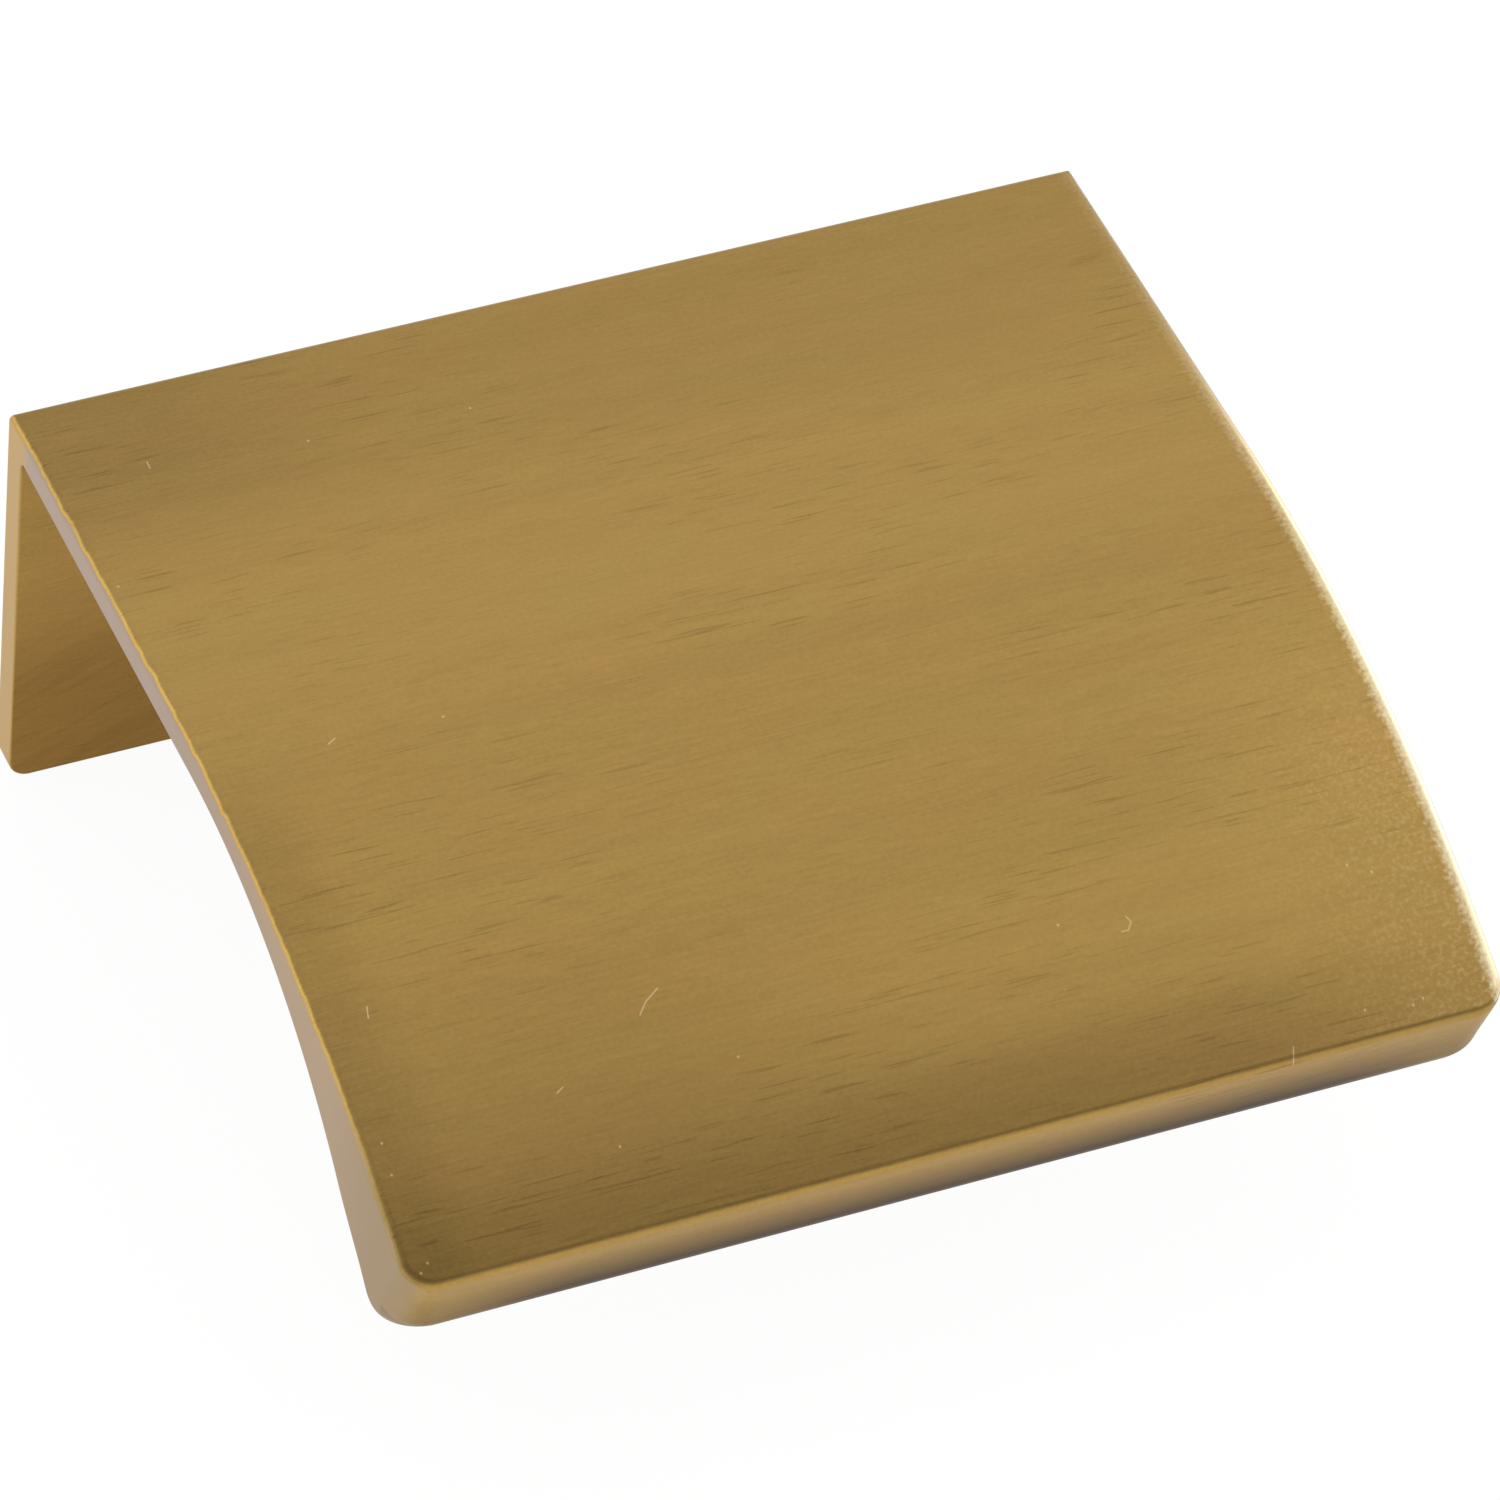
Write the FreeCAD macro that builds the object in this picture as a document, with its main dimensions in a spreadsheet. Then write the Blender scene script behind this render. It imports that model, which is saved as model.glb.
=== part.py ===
import FreeCAD, Part
import math
import os
import Sketcher

# Tab pull: one length of extruded aluminium profile with a brushed brass tone.
# A thin leg screws to the back of a door, a flat land lies on the door's top
# edge, and an arched tab runs forward and down to a thick rounded lip.
#
# Millimetres. X runs along the pull, -Y points to the front of the door and +Z
# is up. The origin is midway between the two screw holes, on the leg's door face.

SIZES = [
    ("length", 50.8, "end to end along the door"),
    ("leg_height", 21, "top face down to the leg's foot"),
    ("leg_thickness", 1.6, "wall of the screwed leg"),
    ("plate_thickness", 1.6, "wall of the flat land"),
    ("flat_depth", 19.3, "leg's back face forward to the start of the arch"),
    ("lip_depth", 47.65, "leg's back face forward to the lip's top edge"),
    ("top_radius", 56.3, "radius of the arched top"),
    ("lip_drop", 4.86, "lip's top edge down to its lowest point"),
    ("lip_lean", 18.6, "lean of the lip's front face from upright, degrees"),
    ("nose_radius", 2.05, "rounding under the lip"),
    ("under_slope", 44, "slope of the underside behind the lip, degrees"),
    ("slope_length", 4.5, "straight run of the underside behind the lip"),
    ("lip_corner", 1.5, "rounding of the lip's two ends, seen from above"),
    ("lower_corner", 1.6, "rounding of the lip's two lower corners, seen along their slant"),
    ("lower_slant", 45, "slant of that rounding, down towards the back, degrees"),
    ("rim_radius", 0.3, "break along the edges of the top face"),
    ("inner_radius", 0.4, "fillet where the leg meets the land"),
    ("foot_corner", 1, "rounding of the foot's two corners"),
    ("hole_spacing", 32, "screw holes, centre to centre"),
    ("hole_drop", 11, "top face down to the screw holes"),
    ("hole_diameter", 4.2, "clearance for a flat-head screw"),
    ("head_diameter", 6.6, "mouth of the countersink"),
    ("head_angle", 90, "countersink, degrees"),
]

X_AXIS = FreeCAD.Vector(1, 0, 0)
UPRIGHT = FreeCAD.Vector(0, 0, 1)
SAME_PLACE = 0.01

# Cut that leaves the lip on both sides, in nose radii.
PAST_LIP = 6

# Points of a sketch element, and the sketch's own origin and axes, as the
# sketcher numbers them.
START, END, CENTRE = 1, 2, 3
ORIGIN = (-1, START)
ACROSS = -1
UP = -2


def make_sheet(doc):
    """Spreadsheet of the driving dimensions, one named cell each."""
    sheet = doc.addObject("Spreadsheet::Sheet", "Sizes")
    for row, (name, value, meaning) in enumerate(SIZES, start=1):
        sheet.set(f"A{row}", name)
        sheet.set(f"B{row}", str(value))
        sheet.set(f"C{row}", meaning)
        sheet.setAlias(f"B{row}", name)
    doc.recompute()
    return sheet


def origin_plane(body, role):
    """One of the body's own base planes."""
    return next(item for item in body.Origin.OriginFeatures if item.Role == role)


def new_sketch(body, name, role):
    sketch = body.newObject("Sketcher::SketchObject", name)
    sketch.AttachmentSupport = [(origin_plane(body, role), "")]
    sketch.MapMode = "FlatFace"
    return sketch


def add_joins(sketch, joins):
    """Relations between elements that need no size."""
    for join in joins:
        sketch.addConstraint(Sketcher.Constraint(*join))


def add_dimensions(sketch, dimensions):
    """Named dimensions, each bound to the spreadsheet."""
    for name, parts, expression in dimensions:
        index = sketch.addConstraint(Sketcher.Constraint(*parts))
        sketch.renameConstraint(index, name)
        sketch.setExpression(f"Constraints.{name}", expression)


def line(start, end):
    return Part.LineSegment(FreeCAD.Vector(*start, 0), FreeCAD.Vector(*end, 0))


def arc(centre, radius, first, last):
    """Arc that runs anticlockwise from one angle to the other."""
    circle = Part.Circle(FreeCAD.Vector(*centre, 0), UPRIGHT, radius)
    return Part.ArcOfCircle(circle, first, last)


def along(point, angle, distance):
    """Point at a distance from another, in the direction of an angle."""
    return point[0] + distance * math.cos(angle), point[1] + distance * math.sin(angle)


def section_outline(size):
    """Closed outline of the section, in the plane of Y and Z, from the leg's back."""
    quarter = math.pi / 2
    lean = math.radians(size.lip_lean)
    slope_angle = math.radians(size.under_slope)
    under_height = size.hole_drop - size.plate_thickness
    foot_height = size.hole_drop - size.leg_height
    back_foot = (size.leg_thickness, foot_height)
    back_top = (size.leg_thickness, size.hole_drop)
    arch_back = (size.leg_thickness - size.flat_depth, size.hole_drop)

    # The arch leaves the flat top level and ends at the lip's top edge.
    arch_centre = along(arch_back, -quarter, size.top_radius)
    arch_turn = math.asin((size.lip_depth - size.flat_depth) / size.top_radius)
    lip_top = along(arch_centre, quarter + arch_turn, size.top_radius)

    # The front face leans back from there and rolls under into the nose.
    face_angle = lean - quarter
    nose_drop = size.lip_drop - size.nose_radius
    face_length = (nose_drop + size.nose_radius * math.sin(lean)) / math.cos(lean)
    lip_foot = along(lip_top, face_angle, face_length)
    nose_centre = along(lip_foot, lean, size.nose_radius)
    nose_back = along(nose_centre, slope_angle - quarter, size.nose_radius)

    # Behind the nose the underside climbs straight, then bends level as a vault.
    slope_top = along(nose_back, slope_angle, size.slope_length)
    vault_radius = (under_height - slope_top[1]) / (1 - math.cos(slope_angle))
    vault_centre = along(slope_top, slope_angle - quarter, vault_radius)
    vault_back = along(vault_centre, quarter, vault_radius)

    inner_corner = (0, under_height)
    door_foot = (0, foot_height)
    return [
        line(back_foot, back_top),
        line(back_top, arch_back),
        arc(arch_centre, size.top_radius, quarter, quarter + arch_turn),
        line(lip_top, lip_foot),
        arc(nose_centre, size.nose_radius, math.pi + lean, 3 * quarter + slope_angle),
        line(nose_back, slope_top),
        arc(vault_centre, vault_radius, quarter, quarter + slope_angle),
        line(vault_back, inner_corner),
        line(inner_corner, door_foot),
        line(door_foot, back_foot),
    ]


def add_section(body, size):
    """Section of the extrusion, drawn on the plane that cuts the pull in half."""
    sketch = new_sketch(body, "Section", "YZ_Plane")
    outline = section_outline(size)
    back, top, arch, face, nose, slope, vault, under, door, foot = range(len(outline))
    sketch.addGeometry(outline, False)
    add_joins(sketch, [
        ("Coincident", back, END, top, START),
        ("Tangent", top, END, arch, START),
        ("Coincident", arch, END, face, START),
        ("Tangent", face, END, nose, START),
        ("Tangent", nose, END, slope, START),
        ("Tangent", slope, END, vault, END),
        ("Tangent", vault, START, under, START),
        ("Coincident", under, END, door, START),
        ("Coincident", door, END, foot, START),
        ("Coincident", foot, END, back, START),
        ("Vertical", back),
        ("Horizontal", top),
        ("Horizontal", under),
        ("Vertical", door),
        ("Horizontal", foot),
        ("PointOnObject", door, END, UP),
    ])
    nose_drop = size.lip_drop - size.nose_radius
    nose_rule = "Sizes.lip_drop - Sizes.nose_radius"
    lean = math.pi + math.radians(size.lip_lean)
    climb = math.radians(size.under_slope)
    drop = size.hole_drop
    add_dimensions(sketch, [
        ("leg_wall", ("DistanceX", door, END, back, START, size.leg_thickness), "Sizes.leg_thickness"),
        ("top_rise", ("DistanceY", *ORIGIN, top, START, drop), "Sizes.hole_drop"),
        ("leg", ("DistanceY", back, START, back, END, size.leg_height), "Sizes.leg_height"),
        ("flat", ("DistanceX", top, END, top, START, size.flat_depth), "Sizes.flat_depth"),
        ("land", ("DistanceY", door, START, top, START, size.plate_thickness), "Sizes.plate_thickness"),
        ("reach", ("DistanceX", face, START, back, END, size.lip_depth), "Sizes.lip_depth"),
        ("arch_radius", ("Radius", arch, size.top_radius), "Sizes.top_radius"),
        ("nose_round", ("Radius", nose, size.nose_radius), "Sizes.nose_radius"),
        ("nose_drop", ("DistanceY", nose, CENTRE, face, START, nose_drop), nose_rule),
        ("straight", ("Distance", slope, START, slope, END, size.slope_length), "Sizes.slope_length"),
        ("face_lean", ("Angle", UP, START, face, START, lean), "180 + Sizes.lip_lean"),
        ("climb", ("Angle", ACROSS, START, slope, START, climb), "Sizes.under_slope"),
    ])
    return sketch


def add_extrusion(body, section):
    pad = body.newObject("PartDesign::Pad", "Extrusion")
    pad.Profile = (section, [""])
    pad.SideType = "Symmetric"
    pad.setExpression("Length", "Sizes.length")
    return pad


def nose_centre():
    """Rules for the height and reach of the nose's centre, from the lip's top edge."""
    run = "(Sizes.lip_depth - Sizes.flat_depth)"
    fall = f"(Sizes.top_radius - sqrt(Sizes.top_radius ^ 2 - {run} ^ 2))"
    height = f"(Sizes.hole_drop - {fall} - Sizes.lip_drop + Sizes.nose_radius)"
    face = "(Sizes.lip_drop - Sizes.nose_radius + Sizes.nose_radius * sin(Sizes.lip_lean))"
    setback = f"({face} * tan(Sizes.lip_lean) + Sizes.nose_radius * cos(Sizes.lip_lean))"
    reach = f"(Sizes.lip_depth - Sizes.leg_thickness - {setback})"
    return height, reach


def add_corner_cut(body, name, plane, turn, place, size, radius_name):
    """What lies outside one rounded corner of the lip, from a sketch turned about X."""
    axis, angle, angle_rule = turn
    sketch = new_sketch(body, f"{name}Outline", plane)
    sketch.AttachmentOffset = FreeCAD.Placement(FreeCAD.Vector(), FreeCAD.Rotation(axis, angle))
    sketch.setExpression(".AttachmentOffset.Rotation.Angle", angle_rule)
    sketch.setExpression(".AttachmentOffset.Base.y", place[0])
    sketch.setExpression(".AttachmentOffset.Base.z", place[1])

    radius = getattr(size, radius_name)
    half = size.length / 2
    outline = [
        arc((half - radius, radius), radius, -math.pi / 2, 0),
        line((half, radius), (half + radius, radius)),
        line((half + radius, radius), (half + radius, -radius)),
        line((half + radius, -radius), (half - radius, -radius)),
        line((half - radius, -radius), (half - radius, 0)),
    ]
    rounding, side, outside, front, close = range(len(outline))
    sketch.addGeometry(outline, False)
    add_joins(sketch, [
        ("Coincident", rounding, END, side, START),
        ("Coincident", side, END, outside, START),
        ("Coincident", outside, END, front, START),
        ("Coincident", front, END, close, START),
        ("Coincident", close, END, rounding, START),
        ("Horizontal", rounding, CENTRE, rounding, END),
        ("Vertical", rounding, CENTRE, rounding, START),
        ("PointOnObject", rounding, START, ACROSS),
        ("Horizontal", side),
        ("Vertical", outside),
        ("Horizontal", front),
        ("Vertical", close),
    ])
    add_dimensions(sketch, [
        ("corner", ("Radius", rounding, radius), f"Sizes.{radius_name}"),
        ("end_face", ("DistanceX", *ORIGIN, rounding, END, half), "Sizes.length / 2"),
        ("past_end", ("DistanceX", side, START, side, END, radius), f"Sizes.{radius_name}"),
        ("past_edge", ("DistanceY", close, START, close, END, radius), f"Sizes.{radius_name}"),
    ])

    pocket = body.newObject("PartDesign::Pocket", name)
    pocket.Profile = (sketch, [""])
    pocket.SideType = "Symmetric"
    return pocket


def add_end_corner(body, size):
    """Corner between the lip's front face and the end, along that face."""
    height, reach = nose_centre()
    face = f"({reach} * cos(Sizes.lip_lean) - {height} * sin(Sizes.lip_lean) + Sizes.nose_radius)"
    place = (f"-{face} * cos(Sizes.lip_lean)", f"-{face} * sin(Sizes.lip_lean)")
    turn = (X_AXIS, size.lip_lean, "Sizes.lip_lean")
    pocket = add_corner_cut(body, "EndCorner", "XY_Plane", turn, place, size, "lip_corner")
    pocket.Type = "ThroughAll"
    return pocket


def add_lower_corner(body, size):
    """Corner between the nose and the end, cut down towards the back and past the slope."""
    height, reach = nose_centre()
    place = (
        f"{height} - Sizes.nose_radius * cos(Sizes.lower_slant)",
        f"{reach} + Sizes.nose_radius * sin(Sizes.lower_slant)",
    )
    turn = (-X_AXIS, size.lower_slant, "Sizes.lower_slant")
    pocket = add_corner_cut(body, "LowerCorner", "XZ_Plane", turn, place, size, "lower_corner")
    pocket.setExpression("Length", f"{PAST_LIP} * Sizes.nose_radius")
    return pocket


def add_mirror(body, features):
    """The same features at the other end of the pull."""
    mirror = body.newObject("PartDesign::Mirrored", "OtherCorners")
    mirror.Originals = features
    mirror.MirrorPlane = (origin_plane(body, "YZ_Plane"), [""])
    body.Tip = mirror
    return mirror


def add_holes(doc, body, size):
    """Two countersunk screw holes, entered from the leg's back face."""
    sketch = new_sketch(body, "ScrewCentres", "XZ_Plane")
    sketch.setExpression(".AttachmentOffset.Base.z", "-Sizes.leg_thickness")
    half_spacing = size.hole_spacing / 2
    for index, place in enumerate((half_spacing, -half_spacing)):
        centre = FreeCAD.Vector(place, 0, 0)
        sketch.addGeometry(Part.Circle(centre, UPRIGHT, size.hole_diameter / 2), False)
        ends = (*ORIGIN, index, CENTRE) if place > 0 else (index, CENTRE, *ORIGIN)
        add_joins(sketch, [("PointOnObject", index, CENTRE, ACROSS)])
        add_dimensions(sketch, [
            (f"bore_{index}", ("Diameter", index, size.hole_diameter), "Sizes.hole_diameter"),
            (f"offset_{index}", ("DistanceX", *ends, half_spacing), "Sizes.hole_spacing / 2"),
        ])
    doc.recompute()

    hole = body.newObject("PartDesign::Hole", "ScrewHoles")
    hole.Profile = (sketch, [""])
    doc.recompute()
    hole.ThreadType = "None"
    hole.DepthType = "Dimension"
    hole.DrillPoint = "Flat"
    hole.HoleCutType = "Countersink"
    hole.HoleCutCustomValues = True
    hole.Reversed = True
    hole.setExpression("Diameter", "Sizes.hole_diameter")
    hole.setExpression("Depth", "2 * Sizes.leg_thickness")
    hole.setExpression("HoleCutDiameter", "Sizes.head_diameter")
    hole.setExpression("HoleCutCountersinkAngle", "Sizes.head_angle")
    return hole


def edges_where(feature, size, test):
    """Names of a feature's edges whose middle point passes the test."""
    names = []
    for number, edge in enumerate(feature.Shape.Edges, start=1):
        first, last = edge.ParameterRange
        if test(size, edge, edge.valueAt((first + last) / 2)):
            names.append(f"Edge{number}")
    return names


def is_foot_corner(size, edge, middle):
    """Edge through the leg's wall at one end of its foot."""
    at_foot = abs(middle.z - size.hole_drop + size.leg_height) < SAME_PLACE
    at_end = abs(abs(middle.x) - size.length / 2) < SAME_PLACE
    return at_foot and at_end


def is_inner_corner(size, edge, middle):
    """Edge along the pull where the leg's door face meets the land."""
    under_land = abs(middle.z - size.hole_drop + size.plate_thickness) < SAME_PLACE
    return under_land and abs(middle.y) < SAME_PLACE


def is_rim(size, edge, middle):
    """Edge of the top face, but not the line where its flat runs into its arch."""
    past_flat = max(size.leg_thickness - size.flat_depth - middle.y, 0)
    fall = size.top_radius - math.sqrt(size.top_radius**2 - past_flat**2)
    on_top = abs(middle.z - size.hole_drop + fall) < SAME_PLACE
    runs_along = edge.tangentAt(edge.FirstParameter).isParallel(X_AXIS, SAME_PLACE)
    seam = abs(middle.y - size.leg_thickness + size.flat_depth) < SAME_PLACE
    return on_top and not (seam and runs_along)


def add_fillet(body, base, name, edges, radius):
    fillet = body.newObject("PartDesign::Fillet", name)
    fillet.Base = (base, edges)
    fillet.setExpression("Radius", radius)
    return fillet


def settle(doc, feature, before, grows=False):
    """Recompute, and check that the feature changed the solid the way it should."""
    doc.recompute()
    volume = feature.Shape.Volume
    changed = volume > before if grows else volume < before
    if not changed or not feature.Shape.isValid():
        raise RuntimeError(f"{feature.Name} left the solid unchanged or broken")
    return volume


def make_pull(doc, size):
    body = doc.addObject("PartDesign::Body", "TabPull")
    body.Label = "tab_pull"
    extrusion = add_extrusion(body, add_section(body, size))
    volume = settle(doc, extrusion, 0, grows=True)
    end_corner = add_end_corner(body, size)
    volume = settle(doc, end_corner, volume)
    lower_corner = add_lower_corner(body, size)
    volume = settle(doc, lower_corner, volume)
    corners = add_mirror(body, [end_corner, lower_corner])
    volume = settle(doc, corners, volume)
    feet = add_fillet(
        body, corners, "FootCorners", edges_where(corners, size, is_foot_corner), "Sizes.foot_corner"
    )
    volume = settle(doc, feet, volume)
    inner = add_fillet(
        body, feet, "InnerFillet", edges_where(feet, size, is_inner_corner), "Sizes.inner_radius"
    )
    volume = settle(doc, inner, volume, grows=True)
    rim = add_fillet(body, inner, "Rim", edges_where(inner, size, is_rim), "Sizes.rim_radius")
    volume = settle(doc, rim, volume)
    holes = add_holes(doc, body, size)
    settle(doc, holes, volume)
    return body


def write_parts(doc, bodies):
    """Check every object of the document, then write one file for each body."""
    for item in doc.Objects:
        if "Invalid" in item.State or "Error" in item.State:
            raise RuntimeError(f"{item.Name} failed: {item.State}")
    os.makedirs("parts", exist_ok=True)
    for body in bodies:
        if body.Shape.isNull() or not body.Shape.isValid():
            raise RuntimeError(f"{body.Label} has no valid solid")
        body.Shape.exportStep(f"parts/{body.Label}.step")
        box = body.Shape.optimalBoundingBox()
        print(body.Label, f"{box.XLength:.3f} x {box.YLength:.3f} x {box.ZLength:.3f} mm")


doc = FreeCAD.newDocument("TabPull")
sizes = make_sheet(doc)
write_parts(doc, [make_pull(doc, sizes)])
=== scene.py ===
import math

import bpy
from mathutils import Matrix, Vector
from mathutils.geometry import delaunay_2d_cdt


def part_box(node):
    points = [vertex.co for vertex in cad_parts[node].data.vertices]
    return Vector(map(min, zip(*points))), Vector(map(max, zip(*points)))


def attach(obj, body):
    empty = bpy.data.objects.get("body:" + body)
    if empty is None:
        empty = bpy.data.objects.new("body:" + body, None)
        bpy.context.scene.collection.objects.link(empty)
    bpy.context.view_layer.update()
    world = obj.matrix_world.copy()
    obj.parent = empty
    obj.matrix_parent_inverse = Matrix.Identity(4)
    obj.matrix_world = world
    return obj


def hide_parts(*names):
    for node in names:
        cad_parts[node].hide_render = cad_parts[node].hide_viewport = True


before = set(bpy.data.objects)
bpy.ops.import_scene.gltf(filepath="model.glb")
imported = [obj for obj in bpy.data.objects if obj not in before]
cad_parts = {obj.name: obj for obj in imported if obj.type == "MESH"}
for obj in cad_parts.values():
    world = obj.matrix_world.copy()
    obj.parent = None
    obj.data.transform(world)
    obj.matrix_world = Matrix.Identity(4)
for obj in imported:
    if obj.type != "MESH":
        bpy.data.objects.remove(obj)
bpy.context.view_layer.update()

# Tab pull in brushed brass tone. Metres, in the frame of the solid: X along the
# pull, -Y to the front and +Z up, origin between the screw holes.

MM = 0.001
NODE = "tab_pull"
LOW, HIGH = (Vector(corner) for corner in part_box(NODE))

HALF = HIGH.x
BACK = HIGH.y
TOP = HIGH.z
FOOT = LOW.z
PLATE = 1.6 * MM
FLAT = 19.3 * MM
DEPTH = 47.65 * MM
ARCH_RADIUS = 56.3 * MM
LIP_DROP = 4.86 * MM
LIP_LEAN = math.radians(18.6)
NOSE_RADIUS = 2.05 * MM
UNDER_SLOPE = math.radians(44)
SLOPE_LENGTH = 4.5 * MM
LIP_CORNER = 1.5 * MM
NOSE_CORNER = 1.8 * MM
NOSE_RUN = 2.3 * MM
UNDER_CORNER = 0.5 * MM
FOOT_CORNER = 1 * MM
INNER_RADIUS = 0.4 * MM
RIM = 0.45 * MM
EDGE = 0.12 * MM

HOLE_OFFSET = 16 * MM
HOLE_RADIUS = 2.1 * MM
HEAD_RADIUS = 3.3 * MM

# Steps of the mesh along each stretch.
COLUMNS = 16
LAND_STEPS = 10
ARCH_STEPS = 48
RIM_STEPS = 8
CORNER_STEPS = 16
END_STEPS = CORNER_STEPS
FACE_STEPS = 10
NOSE_STEPS = 24
SLOPE_STEPS = 12
VAULT_STEPS = 32
FILLET_STEPS = 8
HOLE_STEPS = 64

# Share of the lip's face where its first plain row lies, clear of the rim, and the
# share of the nose's turn in which its corner takes up its full run.
FACE_START = 0.2
NOSE_EASE = 0.25

# Points within the weld are one, and so are directions within a hair's angle. The
# shift keeps even places off the weld's limits.
WELD = 1e-4 * MM
WELD_SHIFT = 0.3
SAME_WAY = 1e-6

# Flat faces are cut into triangles inside their outline, to a tolerance in millimetres.
INSIDE_ONLY = 1
FLAT_TOLERANCE = 1e-5

QUARTER = math.pi / 2
X_AXIS = Vector((1, 0, 0))
Y_AXIS = Vector((0, 1, 0))
Z_AXIS = Vector((0, 0, 1))


def spread(first, last, steps):
    """Evenly spaced values, both ends included."""
    return [first + (last - first) * step / steps for step in range(steps + 1)]


def in_section(y, z):
    """Point or direction of the section, which lies in the plane of Y and Z."""
    return Vector((0, y, z))


def turned(angle):
    """Direction of the section at an angle from the back, positive upwards."""
    return in_section(math.cos(angle), math.sin(angle))


# The section's main points.
UNDER = TOP - PLATE
ARCH_START = in_section(BACK - FLAT, TOP)
ARCH_CENTRE = ARCH_START + turned(-QUARTER) * ARCH_RADIUS
ARCH_TURN = math.asin((DEPTH - FLAT) / ARCH_RADIUS)
LIP_TOP = ARCH_CENTRE + turned(QUARTER + ARCH_TURN) * ARCH_RADIUS
LIP_NORMAL = turned(math.pi + LIP_LEAN)
LIP_HEIGHT = (LIP_DROP - NOSE_RADIUS + NOSE_RADIUS * math.sin(LIP_LEAN)) / math.cos(LIP_LEAN)
LIP_FOOT = LIP_TOP + turned(LIP_LEAN - QUARTER) * LIP_HEIGHT
NOSE_CENTRE = LIP_FOOT - LIP_NORMAL * NOSE_RADIUS
NOSE_BACK = NOSE_CENTRE + turned(UNDER_SLOPE - QUARTER) * NOSE_RADIUS
SLOPE_TOP = NOSE_BACK + turned(UNDER_SLOPE) * SLOPE_LENGTH
VAULT_RADIUS = (UNDER - SLOPE_TOP.z) / (1 - math.cos(UNDER_SLOPE))
VAULT_CENTRE = SLOPE_TOP + turned(UNDER_SLOPE - QUARTER) * VAULT_RADIUS


class Shell:
    """Faces of one closed surface, with the true normal kept at each corner."""

    def __init__(self):
        self.points = []
        self.index = {}
        self.faces = []
        self.normals = []

    def point(self, place):
        key = tuple(round(value / WELD + WELD_SHIFT) for value in place)
        if key not in self.index:
            self.index[key] = len(self.points)
            self.points.append(tuple(place))
        return self.index[key]

    def face(self, corners):
        """One face from (place, normal) pairs, turned to look along its normals."""
        kept = []
        for place, normal in corners:
            number = self.point(place)
            if number not in [item[0] for item in kept]:
                kept.append((number, normal, place))
        if len(kept) < 3:
            return
        places = [item[2] for item in kept]
        outward = sum((item[1] for item in kept), Vector())
        winding = (places[1] - places[0]).cross(places[2] - places[0])
        if len(places) > 3:
            winding += (places[2] - places[0]).cross(places[3] - places[0])
        if winding.dot(outward) < 0:
            kept.reverse()
        self.faces.append([item[0] for item in kept])
        self.normals.extend(item[1] for item in kept)

    def both_ends(self, corners):
        """The face and its mirror image at the other end of the pull."""
        self.face(corners)
        self.face([(flipped(place), flipped(normal)) for place, normal in corners])

    def grid(self, rows):
        for first, second in zip(rows, rows[1:]):
            for left, right in zip(range(len(first)), range(1, len(first))):
                self.both_ends([first[left], first[right], second[right], second[left]])

    def plane(self, loops, normal):
        """A flat face with round holes: the first loop is its outline."""
        places = [place for loop in loops for place in loop]
        flat = [(place.yz if normal == X_AXIS else place.xz) / MM for place in places]
        sides = []
        for loop in loops:
            start = len(sides)
            sides += [(start + step, start + (step + 1) % len(loop)) for step in range(len(loop))]
        found = delaunay_2d_cdt(flat, sides, [], INSIDE_ONLY, FLAT_TOLERANCE)
        triangles, given_points = found[2:4]
        for triangle in triangles:
            corners = [given_points[number][0] for number in triangle]
            if min(corners) < len(loops[0]):
                self.both_ends([(places[number], normal) for number in corners])

    def piece(self, name):
        mesh = bpy.data.meshes.new(name)
        mesh.from_pydata(self.points, [], self.faces)
        mesh.polygons.foreach_set("use_smooth", [True] * len(mesh.polygons))
        mesh.normals_split_custom_set([tuple(normal) for normal in self.normals])
        piece = bpy.data.objects.new(name, mesh)
        bpy.context.scene.collection.objects.link(piece)
        return piece


def flipped(vector):
    return Vector((-vector.x, vector.y, vector.z))


def swing(first, second, steps):
    """Directions turned evenly from one to another."""
    angle = first.angle(second)
    if angle < SAME_WAY:
        return [first] * (steps + 1)
    turns = spread(0, angle, steps)
    return [
        (first * math.sin(angle - turn) + second * math.sin(turn)) / math.sin(angle) for turn in turns
    ]


def across(width):
    """Places from the pull's middle out to a half width."""
    return spread(0, width, COLUMNS)


def at(x, section_point):
    return Vector((x, section_point.y, section_point.z))


def corner_place(turn, radius, ball):
    """Depth and distance from the end of a ball that rolls round a corner."""
    return radius - (radius - ball) * math.cos(turn), radius - (radius - ball) * math.sin(turn)


def arch_at(depth, ball):
    """Angle along the arch where a ball under it lies at that depth behind the lip's face."""
    reach = (LIP_TOP - ARCH_CENTRE).dot(LIP_NORMAL)
    return LIP_LEAN + math.asin((reach - depth) / (ARCH_RADIUS - ball))


def eased(share):
    """Smooth step from 0 to 1."""
    share = min(max(share, 0), 1)
    return share * share * (3 - 2 * share)


def mixed(first, last, share):
    return first + (last - first) * share


def back_corner_rows():
    """The top face's first rows, round its back corner: point, normal and half width."""
    rows = []
    for turn in spread(0, QUARTER, END_STEPS):
        inset = RIM + EDGE * (1 - math.cos(turn))
        width = HALF - RIM - EDGE * (1 - math.sin(turn))
        rows.append((in_section(BACK - inset, TOP), Z_AXIS, width))
    return rows


def straight_rows():
    """The rows between the back corner and the lip's corner."""
    rows = []
    for run in spread(RIM + EDGE, FLAT, LAND_STEPS)[1:]:
        rows.append((in_section(BACK - run, TOP), Z_AXIS, HALF - RIM))
    last = arch_at(corner_place(QUARTER, LIP_CORNER, RIM)[0], RIM)
    for turn in spread(0, last, ARCH_STEPS)[1:-1]:
        normal = turned(QUARTER + turn)
        rows.append((ARCH_CENTRE + normal * ARCH_RADIUS, normal, HALF - RIM))
    return rows


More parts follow.
